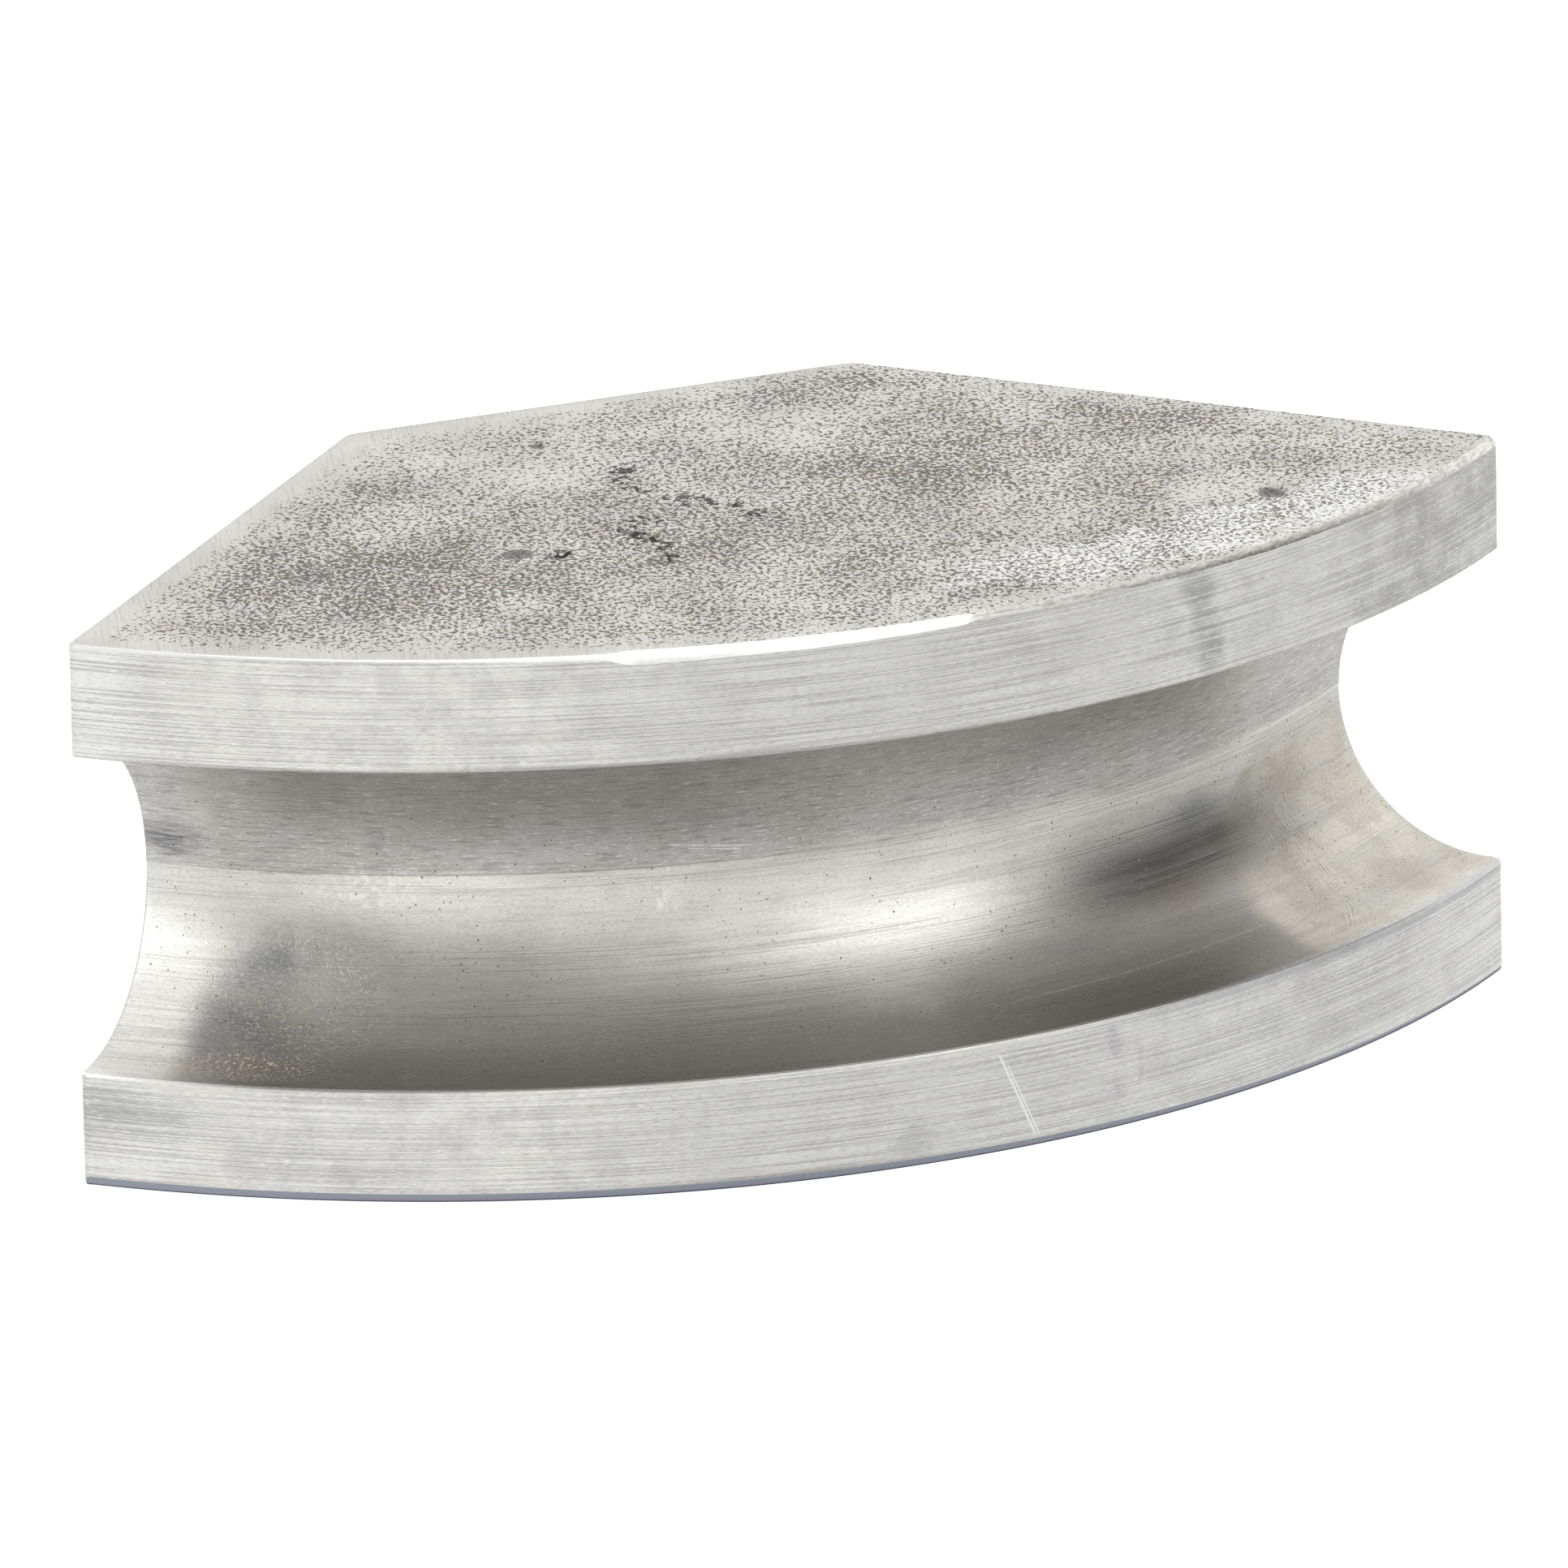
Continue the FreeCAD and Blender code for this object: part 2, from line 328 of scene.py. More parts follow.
def skin_height(points):
    """How far the cast top lies from its plane, never above it, at each point: waves and blow-holes."""
    wave = np.array([noise.fractal((x / WAVE_SIZE, y / WAVE_SIZE, WAVE_SLICE), 1.0, 2.0, 3)
                     for x, y in points.reshape(-1, 2)])
    height = -WAVE_SINK - WAVE_HEIGHT * wave.reshape(points.shape[:-1])
    for x, y, radius, depth in BLOW_HOLES:
        distance = np.hypot(points[..., 0] - x, points[..., 1] - y)
        height -= depth * np.exp(-((distance / radius) ** 4))
    return np.minimum(height, 0)


def cap(shell, ring_runs, zone):
    """Fills a ring with a grid of points. The top has its cast skin's waves and holes."""
    front, right, back, left = ring_runs
    points = shell.all_points()
    grid = coons(points[front][:, :2], points[back][:, :2], points[left][:, :2], points[right][:, :2])
    inner = grid[1:-1, 1:-1]
    z = np.full(inner.shape[:2], points[front[0], 2])
    if zone == TOP:
        z += skin_height(inner)
    index = np.zeros((len(left), len(front)), int)
    index[1:-1, 1:-1] = shell.add(np.dstack([inner, z]))
    index[0], index[-1], index[:, 0], index[:, -1] = front, back, left, right
    shell.grid(index, zone)


def groove_rows():
    """Radius from the arc's centre and height of each row of the groove, from upper to lower lip."""
    angle = LIP_ANGLE * np.linspace(1, -1, GROOVE_ROWS + 1)
    near = np.array(WITNESS_ROWS) / GROOVE_R
    angle = np.concatenate([angle[angle > WITNESS_ANGLE], near, angle[angle < -WITNESS_ANGLE]])
    step = WITNESS_STEP * 0.5 * (1 - np.tanh(angle * GROOVE_R / WITNESS_SPREAD))
    fade = np.clip((LIP_ANGLE - np.abs(angle)) / WITNESS_RUN_OUT, 0, 1)
    section = GROOVE_R + (step - WITNESS_STEP) * fade
    return BEND_RADIUS - section * np.cos(angle), GROOVE_Z + section * np.sin(angle)


def front_rows():
    """(radius, height, zone) of the rows of the front wall, from its top edge to its base edge."""
    radius, height = groove_rows()
    upper = np.linspace(HEIGHT, height[0] + LIP_R, RIM_ROWS + 1)
    lower = np.linspace(height[-1] - LIP_R, 0, RIM_ROWS + 1)
    inset = LIP_INSET * LIP_R
    rows = [(RIM_R, z, RIM) for z in upper]
    rows.append((RIM_R - inset, height[0] + inset, GROOVE))
    rows += [(r, z, GROOVE) for r, z in zip(radius[1:-1], height[1:-1])]
    # The lower lip's row takes the filed edge's bright material: a painted highlight along the lip
    rows.append((RIM_R - inset, height[-1] - inset, ARRIS))
    rows += [(RIM_R, z, RIM) for z in lower]
    return rows


def front_wall(shell, top_front, base_front):
    """The two rims and the groove, between the front runs of the top and base rings."""
    points = shell.all_points()
    rim_top, rim_base = points[top_front, 2], points[base_front, 2]
    upper_lip, lower_lip = GROOVE_Z + LIP_RISE, GROOVE_Z - LIP_RISE
    index = [top_front]
    zones = []
    for radius, height, zone in front_rows()[1:-1]:
        depth = np.clip((RIM_R - radius) / CORNER_FADE, 0, 1)
        corners = [rim_r + (GROOVE_CORNER_R - rim_r) * depth for rim_r in (LEFT_CORNER_R, RIGHT_CORNER_R)]
        plan = front_path(radius, *corners)
        z = np.full(len(plan), height)
        if zone == RIM and height > GROOVE_Z:
            z = upper_lip + (height - upper_lip) * (rim_top - upper_lip) / (HEIGHT - upper_lip)
        if zone == RIM and height < GROOVE_Z:
            z = lower_lip - (lower_lip - height) * (lower_lip - rim_base) / lower_lip
        index.append(shell.add(np.column_stack([plan, z])))
        zones.append(zone)
    index.append(base_front)
    zones.append(RIM)
    for row, zone in enumerate(zones):
        shell.grid(index[row:row + 2], zone)
    return np.array(index)


def flat_face(shell, back, rows, section, front_edge, level, into, zone):
    """The top or the base with its broken edge. Returns the runs of the ring where the walls start."""
    loop, normal, edge = edge_ring(front_edge, back, rows)
    rings = []
    for inset, fall in section:
        plan = loop - normal * (edge * inset)[:, None]
        rings.append(shell.add(np.column_stack([plan, level + into * edge * fall])))
    shell.grid([np.append(ring, ring[0]) for ring in rings], ARRIS)
    cap(shell, runs(rings[0], len(back), rows), zone)
    return runs(rings[-1], len(back), rows)


def casting_shell():
    """The whole outside of the casting, before its sockets and holes are cut."""
    shell = Shell()
    back = back_path()
    top = flat_face(shell, back, TOP_ROWS, ARRIS_SECTION, arris_size, HEIGHT, -1, TOP)
    base = flat_face(shell, back, BASE_ROWS, BASE_EDGE_SECTION, base_edge_size, 0.0, 1, BASE)
    front = front_wall(shell, top[0], base[0])
    points = shell.all_points()
    rise = np.linspace(0, 1, BACK_ROWS + 1)[1:-1, None, None]
    inner = shell.add(points[top[2]] + (points[base[2]] - points[top[2]]) * rise)
    back_index = np.vstack([top[2], inner, base[2]])
    shell.grid(back_index, BACK)
    for side, column in ((1, -1), (3, 0)):
        loop = [*top[side], *back_index[1:-1, column], *base[side][::-1], *front[1:-1, column][::-1]]
        shell.polygon(loop, END)
    return shell


# ---------------------------------------------------------------- sockets and holes

def lathe(profile, matrix):
    """A closed solid of revolution about its own Z: profile is (radius, height) from end to end."""
    shell = Shell()
    turn = np.linspace(0, 2 * math.pi, BORE_STEPS, endpoint=False)
    rows = []
    for radius, height in profile:
        ring = np.stack([radius * np.cos(turn), radius * np.sin(turn), np.full(BORE_STEPS, height)], -1)
        rows.append(shell.add(ring))
    shell.grid([np.append(row, row[0]) for row in rows], BORE)
    shell.polygon(rows[0], BORE)
    shell.polygon(rows[-1][::-1], BORE)
    data = shell.mesh("cutter")
    data.transform(matrix)
    return data


def add_object(name, data):
    item = bpy.data.objects.new(name, data)
    bpy.context.scene.collection.objects.link(item)
    return item


def cut(piece, data):
    """Cuts the solid in data out of piece."""
    cutter = add_object("cutter", data)
    for slot in piece.data.materials:
        data.materials.append(slot)
    modifier = piece.modifiers.new("cut", "BOOLEAN")
    modifier.operation = "DIFFERENCE"
    modifier.object = cutter
    modifier.solver = "MANIFOLD"
    depsgraph = bpy.context.evaluated_depsgraph_get()
    result = bpy.data.meshes.new_from_object(piece.evaluated_get(depsgraph))
    piece.modifiers.clear()
    piece.data = result
    bpy.data.objects.remove(cutter)


def cut_sockets(piece):
    """Cuts the stepped socket and the screw holes from the back, and the detent's hole from below."""
    on_back = Matrix.Translation((0, BACK_Y * MM, GROOVE_Z * MM))
    backward = on_back @ Matrix.Rotation(math.radians(-90), 4, "X")
    socket = ((FLANGE_SEAT_R, OVERRUN), (FLANGE_SEAT_R, -FLANGE_SEAT_DEPTH),
              (SOCKET_SEAT_R, -FLANGE_SEAT_DEPTH), (SOCKET_SEAT_R, -SOCKET_SEAT_DEPTH),
              (RELIEF_R, -SOCKET_SEAT_DEPTH), (RELIEF_R, -RELIEF_DEPTH))
    upward = Matrix.Translation((0, DETENT_Y * MM, 0))
    detent = ((DETENT_R, -OVERRUN), (DETENT_R, DETENT_TOP), (NOSE_R, DETENT_TOP), (NOSE_R, NOSE_TOP))
    screw = ((SCREW_R, OVERRUN - FLANGE_SEAT_DEPTH), (SCREW_R, -SCREW_DEPTH))
    cut(piece, lathe(detent, upward))
    cut(piece, lathe(socket, backward))
    for i in range(SCREW_COUNT):
        turn = math.radians(SCREW_TURN + 360 * i / SCREW_COUNT)
        off_axis = (SCREW_CIRCLE_R * math.cos(turn) * MM, 0, SCREW_CIRCLE_R * math.sin(turn) * MM)
        cut(piece, lathe(screw, Matrix.Translation(off_axis) @ backward))


def measure(data):
    """Stores two attributes in millimetres: turned_mm, the coordinates along and across the arc that the
    machining marks follow, and border_mm, the distance to the nearest edge of the top."""
    co = np.empty(len(data.vertices) * 3)
    data.vertices.foreach_get("co", co)
    x, y, z = co.reshape(-1, 3).T / MM
    rho = np.hypot(x, ARC_Y - y)
    along = np.arctan2(x, ARC_Y - y) * RIM_R
    rise = z - GROOVE_Z
    in_groove = np.arctan2(rise, BEND_RADIUS - rho) * GROOVE_R
    on_rim = np.sign(rise) * (LIP_ANGLE * GROOVE_R + np.abs(rise) - LIP_RISE)
    across = np.where(np.abs(rise) > GROOVE_R + GROOVE_SLACK, on_rim, in_groove)
    ends = (ARC_Y - END_SETBACK - y) * math.sin(END_ANGLE) - np.abs(x) * math.cos(END_ANGLE)
    front_border = np.minimum(RIM_R - rho, ends) + np.interp(x, *FRONT_SANDING)
    border = np.minimum(front_border, BACK_Y - y + np.interp(x, *BACK_SANDING))
    turned = data.attributes.new("turned_mm", "FLOAT_VECTOR", "POINT")
    turned.data.foreach_set("vector", np.stack([along, across, 0 * along], -1).ravel())
    edge = data.attributes.new("border_mm", "FLOAT", "POINT")
    edge.data.foreach_set("value", border)


def flatten_ends(data):
    """Keeps the rounded corners' smooth shading out of the flat end faces."""
    for face in data.polygons:
        if face.material_index == END:
            for loop in face.loop_indices:
                data.edges[data.loops[loop].edge_index].use_edge_sharp = True


# ---------------------------------------------------------------- materials

QUARTER_TURN = 0.25


def feed(tree, socket, value):
    """Links a node's output to a socket, or sets the socket where value isn't one."""
    if isinstance(value, bpy.types.NodeSocket):
        tree.links.new(value, socket)
    else:
        socket.default_value = value


def add_node(tree, kind, values, **settings):
    """Adds a shader node with these settings, and feeds its inputs."""
    item = tree.nodes.new(kind)
    for key, value in settings.items():
        setattr(item, key, value)
    for key, value in values.items():
        feed(tree, item.inputs[key], value)
    return item


class Finish:
    """One material on the Principled shader, and short ways to add nodes to it. Units are mm.

    tone is its color so far: each coat lays another color over that."""

    def __init__(self, name, color, roughness, metallic=1.0):
        self.material = bpy.data.materials.new(name)
        self.material.use_nodes = True
        self.tree = self.material.node_tree
        self.shader = self.tree.nodes["Principled BSDF"]
        self.set(Base_Color=(*color, 1), Roughness=roughness, Metallic=metallic)
        self.tone = color
        place = self.tree.nodes.new("ShaderNodeTexCoord")
        self.place = self.scaled(place.outputs["Object"], 1 / MM, 1 / MM, 1 / MM)

    def set(self, **sockets):
        """Feeds the shader's inputs, whose names have _ for a space."""
        for key, value in sockets.items():
            feed(self.tree, self.shader.inputs[key.replace("_", " ")], value)

    def node(self, kind, values, **settings):
        return add_node(self.tree, kind, values, **settings)

    def vector_math(self, operation, *values):
        return self.node("ShaderNodeVectorMath", dict(enumerate(values)), operation=operation).outputs

    # Vectors

    def attribute(self, name, output):
        return self.node("ShaderNodeAttribute", {}, attribute_name=name).outputs[output]

    def axis(self, vector, name):
        return self.node("ShaderNodeSeparateXYZ", {0: vector}).outputs[name]

    def combined(self, **axes):
        return self.node("ShaderNodeCombineXYZ", axes).outputs[0]

    def length(self, vector):
        return self.vector_math("LENGTH", vector)["Value"]

    def scaled(self, vector, x, y, z):
        return self.vector_math("MULTIPLY", vector, (x, y, z))[0]

    def drawn(self, vector, share):
        """The vector with X scaled down, which draws noise out into streaks along X."""
        return self.scaled(vector, share, 1, 1)

    def moved(self, vector, x, y, z):
        return self.vector_math("ADD", vector, (x, y, z))[0]

    def spun(self, vector, degrees):
        return self.node("ShaderNodeVectorRotate", {"Vector": vector, "Angle": math.radians(degrees)},
                         rotation_type="Z_AXIS").outputs[0]

    def warped(self, vector, size, amount):
        """The vector pushed about, by up to amount / 4 or so, by noise whose cells are size across."""
        push = self.node("ShaderNodeTexNoise", {"Vector": vector, "Scale": 1 / size}).outputs["Color"]
        pushed = self.vector_math("MULTIPLY_ADD", push, (amount, amount, amount), vector)[0]
        return self.moved(pushed, *[-amount / 2] * 3)

    # Numbers

    def math(self, operation, a, b=0.0):
        return self.node("ShaderNodeMath", {0: a, 1: b}, operation=operation).outputs[0]

    def times(self, a, b):
        return self.math("MULTIPLY", a, b)

    def total(self, *values):
        result = values[0]
        for value in values[1:]:
            result = self.math("ADD", result, value)
        return result

    def weighted(self, *pairs):
        """The sum of values, each times its weight."""
        return self.total(*(self.times(value, weight) for value, weight in pairs))

    def ease(self, value, start, end, low=0.0, high=1.0):
        """low at start and high at end, eased between."""
        return self.node("ShaderNodeMapRange", {"Value": value, "From Min": start, "From Max": end,
                                                "To Min": low, "To Max": high},
                         interpolation_type="SMOOTHSTEP").outputs["Result"]

    def noise(self, vector, size, detail=2.0, roughness=0.5, warp=0.0):
        """Noise whose cells are size millimetres across."""
        return self.node("ShaderNodeTexNoise", {"Vector": vector, "Scale": 1 / size, "Detail": detail,
                                                "Roughness": roughness, "Distortion": warp}).outputs["Fac"]

    def swing(self, vector, size, amount, detail=2.0):
        """Noise that goes about amount / 4 either side of zero."""
        return self.node("ShaderNodeMapRange", {"Value": self.noise(vector, size, detail),
                                                "To Min": -amount / 2, "To Max": amount / 2},
                         clamp=False).outputs["Result"]

    # Places on a plane

    def spot(self, vector, x, y, wide, tall, strength=1.0):
        """strength at a place on a plane, falling to 0 at an ellipse round it."""
        offset = self.scaled(self.moved(vector, -x, -y, 0), 1 / wide, 1 / tall, 0)
        return self.ease(self.length(offset), 1.0, 0.0, 0.0, strength)

    def spots(self, vector, *places):
        """The sum of several spots."""
        return self.total(*(self.spot(vector, *place) for place in places))

    def scratch(self, vector, start, end, half_width, strength=1.0):
        """strength along a straight mark between two places on a plane, falling to 0 at its edges."""
        run = Vector((end[0] - start[0], end[1] - start[1], 0))
        offset = self.moved(vector, -(start[0] + end[0]) / 2, -(start[1] + end[1]) / 2, 0)
        reach = []
        for direction in (run.normalized(), Vector((-run.y, run.x, 0)).normalized()):
            reach.append(self.math("ABSOLUTE", self.vector_math("DOT_PRODUCT", offset, direction)["Value"]))
        return self.times(self.ease(reach[0], run.length / 2, run.length * 0.4, 0.0, strength),
                          self.ease(reach[1], half_width, half_width * 0.3))

    def swirl(self, vector, x, y, size):
        """Broken fine rings round a place on a plane, as a rotary tool leaves, out to size."""
        length = self.length(self.moved(vector, -x, -y, 0))
        across = self.combined(X=self.total(length, self.swing(vector, 9, 2.5)))
        rings = self.ease(self.noise(across, 0.45, 1), 0.46, 0.66)
        broken = self.ease(self.noise(vector, 2.5, 3), 0.42, 0.6)
        band = self.times(self.ease(length, size * 0.4, size * 0.6), self.ease(length, size, size * 0.8))
        return self.times(self.times(rings, broken), band)

    # Looks

    def blend(self, factor, a, b):
        """Color a where factor is 0 and b where it is 1."""
        a, b = ((*color, 1) if isinstance(color, tuple) else color for color in (a, b))
        return self.node("ShaderNodeMix", {0: factor, 6: a, 7: b}, data_type="RGBA").outputs[2]

    def coat(self, factor, color):
        """Lays a color over tone, as thickly as factor says."""
        self.tone = self.blend(factor, self.tone, color)

    def bump(self, height):
        """Bump from a height in millimetres."""
        values = {"Height": height, "Strength": 1.0, "Distance": MM}
        return self.node("ShaderNodeBump", values).outputs["Normal"]

    def brushed_along_arc(self, strength):
        """Spreads reflections across the turning lines, which run round the arc's centre."""
        ahead = self.math("SUBTRACT", ARC_Y, self.axis(self.place, "Y"))
        along = self.combined(X=ahead, Y=self.axis(self.place, "X"))
        self.set(Anisotropic=strength, Anisotropic_Rotation=QUARTER_TURN,
                 Tangent=self.vector_math("NORMALIZE", along)[0])


CLEAN = (0.72, 0.715, 0.685)
GLINT = (0.97, 0.97, 0.96)
PIT_GREY = (0.20, 0.19, 0.175)
PIT_BROWN = (0.26, 0.205, 0.165)
CRACK_SHADE = (0.05, 0.045, 0.04)
LOW_GROOVE_SHADE = (0.40, 0.385, 0.365)
GRIT = (0.60, 0.53, 0.38)

# How milling marks are drawn out
UPRIGHT_MARKS = (1, 1, 0.03)
LEVEL_MARKS = (0.03, 1, 1)

# Places in the top skin, by x, y and how far they reach along x and y: where the pits crowd, where
# they thin out, where the skin is frosted, and the holes painted dark as shade
PITTED = ((-88, 2, 38, 24), (-70, -20, 46, 16), (-67, -2, 26, 14), (38, 12, 46, 24),
          (12, -36, 28, 10), (55, 62, 44, 12), (92, 24, 26, 14), (-20, -12, 34, 26))
CLEARED = ((-30, 38, 30, 18), (28, 48, 44, 18), (86, -6, 26, 12), (44, -26, 26, 9),
           (-40, 60, 60, 20), (84, -26, 22, 9), (114, -28, 22, 12))
FROSTED = ((42, -54, 52, 20), (76, -45, 34, 16), (102, -38, 34, 16))
HOLE_SHADE = ((90, -31, 4.0, 5.0), (-21, 53, 2.2, 2.4), (-48, -5, 5, 4))

# Cracks and holes in the top skin, painted black as the shade in them, each by its middle, and how far each
# reaches
CRACKS = ((-12, 33), (-15, 27), (-14, 20), (-9, 12), (-5, 9), (-2, 4), (0, -1), (-25, -2), (-24, -8),
          (-22, -13), (-25, -20), (-19, 3), (-41, -9))
CRACK_REACH = (3.6, 2.6)


def sand_pits(f, plan, rough_plan, border):
    """1 in the small pits that the sand left, which thin out towards the sanded edges."""
    grain = f.noise(f.scaled(plan, 1, 0.9, 1), 0.84, 1.8, 0.5, 0.5)
    edge = f.total(f.ease(f.total(border, f.swing(plan, 7, 6)), 1.0, 4.5, -0.16, 0.0),
                   f.ease(f.total(border, f.swing(plan, 7, 12)), 4.0, 14.0, -0.07, 0.0))
    level = f.total(grain, f.swing(plan, 24, 0.12, 3), f.swing(plan, 9, 0.12),
                    f.times(f.spots(rough_plan, *PITTED), 0.055),
                    f.times(f.spots(rough_plan, *CLEARED), -0.045), edge)
    return f.ease(level, 0.49, 0.575)


def cast_top():
    """Skimmed sand-cast skin: clean metal with small dark pits, cracks and frosted stretches."""
    f = Finish("cast_top", CLEAN, 0.4)
    plan = f.scaled(f.place, 1, 1, 0)
    rough_plan = f.warped(plan, 14, 22)
    border = f.attribute("border_mm", "Fac")
    wide = f.noise(plan, 24, 3)
    fine = f.noise(plan, 0.5, 2)
    sanding = f.noise(f.scaled(f.spun(plan, 17), 1, 0.05, 1), 0.5, 2)
    pit = sand_pits(f, plan, rough_plan, border)
    brown = f.ease(f.noise(f.moved(plan, 40, 0, 0), 7, 2), 0.5, 0.68)
    crack = f.spots(f.warped(plan, 2.2, 14), *((x, y, *CRACK_REACH) for x, y in CRACKS))
    crack = f.ease(f.total(crack, f.swing(plan, 1.2, 0.7)), 0.3, 0.5)
    frost = f.ease(f.total(f.spots(rough_plan, *FROSTED), f.swing(plan, 3, 1.1, 5)), 0.3, 0.75)
    frost = f.times(frost, f.ease(fine, 0.35, 0.6, 0.25, 0.9))
    f.tone = f.blend(f.ease(wide, 0.35, 0.65), (0.66, 0.652, 0.615), (0.61, 0.60, 0.57))
    f.coat(f.ease(fine, 0.4, 0.7, 0.0, 0.2), (0.4, 0.39, 0.37))
    f.coat(f.times(f.ease(sanding, 0.5, 0.64), f.ease(border, 16.0, 3.0, 0.14, 0.42)), (0.42, 0.41, 0.39))
    f.coat(frost, GLINT)
    # The pits' dark colour: oxide and dirt in them, and painted shade
    f.coat(f.times(pit, f.ease(frost, 0.0, 1.0, 1.0, 0.75)), f.blend(brown, PIT_GREY, PIT_BROWN))
    # Painted shade in the blow-holes
    f.coat(f.ease(f.spots(plan, *HOLE_SHADE), 0.2, 0.5, 0.0, 0.85), (0.17, 0.16, 0.15))
    # Painted shade in the cracks and holes
    f.coat(crack, CRACK_SHADE)
    f.set(Base_Color=f.tone,
          Roughness=f.total(f.ease(wide, 0.3, 0.7, 0.34, 0.44), f.times(pit, 0.25), f.times(frost, 0.15)),
          Normal=f.bump(f.weighted((pit, -0.2), (fine, 0.03), (sanding, 0.012), (crack, -0.5))))
    return f.material


def rim_stains(f, turned, along, across, cloud):
    """The rims' uneven tone: stains, duller ends, a painted lighter band across the left and middle, and a
    few dark and lilac streaks.
    """
    stain = f.noise(f.moved(f.place, 30, 0, 0), 13, 5, 0.6)
    ragged = f.warped(turned, 5, 4)
    right = f.times(f.ease(along, 88.0, 125.0), f.ease(across, 0.0, 1.0))
    left_end = f.times(f.ease(along, -138.0, -150.0), f.ease(across, 0.0, 1.0, 0.0, 0.7))
    dulled = f.spots(turned, (-106, -60, 40, 26, 0.45), (-100, 60, 34, 26, 0.15), (106, -60, 36, 26, 0.35))
    streaks = f.total(f.scratch(ragged, (59, 76), (66, 50), 4.6),
                      f.scratch(ragged, (53, 68), (56, 58), 2.6, 0.3))
    smudges = f.spots(ragged, (-150, -56, 24, 7), (-1, -66, 7, 5, 0.6))
    broken = f.ease(f.noise(f.drawn(turned, 0.3), 1.2, 4), 0.3, 0.6, 0.35, 0.8)
    lilac = f.total(f.scratch(ragged, (40, -51), (43, -66), 2.0),
                    f.scratch(ragged, (46, -54), (47, -66), 1.0))
    f.tone = f.blend(f.ease(cloud, 0.42, 0.64), (0.775, 0.77, 0.735), (0.735, 0.73, 0.70))
    f.coat(f.ease(stain, 0.56, 0.7, 0.0, 0.4), (0.60, 0.575, 0.55))
    f.coat(f.times(right, f.ease(cloud, 0.35, 0.6, 0.5, 1.0)), (0.48, 0.475, 0.46))
    # A painted lighter band across the left and middle of both rims, standing in for brighter reflected
    # light
    f.coat(f.spot(f.scaled(turned, 1, 0, 0), -20, 0, 48, 1, 0.6), (0.86, 0.855, 0.82))
    f.coat(dulled, (0.52, 0.515, 0.50))
    f.coat(left_end, (0.92, 0.92, 0.90))
    f.coat(f.times(f.total(streaks, smudges), broken), (0.42, 0.42, 0.41))
    f.coat(f.times(lilac, f.ease(cloud, 0.36, 0.6, 0.0, 0.7)), (0.56, 0.53, 0.62))


def turned_rim():
    """The turned rims: fine lines along the arc, grain, glints and a scratch over the stained metal."""
    f = Finish("turned_rim", CLEAN, 0.36)
    turned = f.attribute("turned_mm", "Vector")
    along = f.axis(turned, "X")
    across = f.axis(turned, "Y")
    lines = f.noise(f.drawn(turned, 0.008), 0.34, 1)
    coarse = f.noise(f.drawn(turned, 0.02), 0.9, 1)
    grain = f.noise(f.drawn(turned, 0.16), 0.24, 2)
    glints = f.noise(f.drawn(turned, 0.12), 0.3, 1)
    cloud = f.noise(f.place, 7, 5, 0.6)
    left = f.ease(along, -95.0, -150.0)
    lip_shade_line = f.times(f.ease(across, -50.3, -50.9), f.ease(across, -52.2, -51.4))
    scratch = f.total(f.scratch(turned, (16.3, -51.7), (24, -69.5), 0.35),
                      f.scratch(turned, (18, -54), (25, -70), 0.2))
    bright = (0.95, 0.95, 0.93)
    rim_stains(f, turned, along, across, cloud)
    f.coat(f.times(f.ease(lines, 0.5, 0.64), f.ease(left, 0.0, 1.0, 0.48, 0.6)), (0.40, 0.395, 0.38))
    f.coat(f.ease(lines, 0.46, 0.34, 0.0, 0.4), bright)
    f.coat(f.ease(grain, 0.5, 0.7, 0.0, 0.4), (0.42, 0.415, 0.40))
    f.coat(f.ease(grain, 0.46, 0.3, 0.0, 0.35), bright)
    f.coat(f.ease(glints, 0.66, 0.74, 0.0, 0.8), GLINT)
    # Painted shade along the lower lip, on the right
    f.coat(f.times(lip_shade_line, f.ease(along, 30.0, 70.0, 0.0, 0.45)), (0.38, 0.39, 0.45))
    f.coat(scratch, GLINT)
    f.set(Base_Color=f.tone, Roughness=f.ease(cloud, 0.35, 0.65, 0.30, 0.40),
          Normal=f.bump(f.weighted((lines, 0.02), (f.times(coarse, left), 0.04), (grain, 0.006))))
    f.brushed_along_arc(0.6)
    return f.material


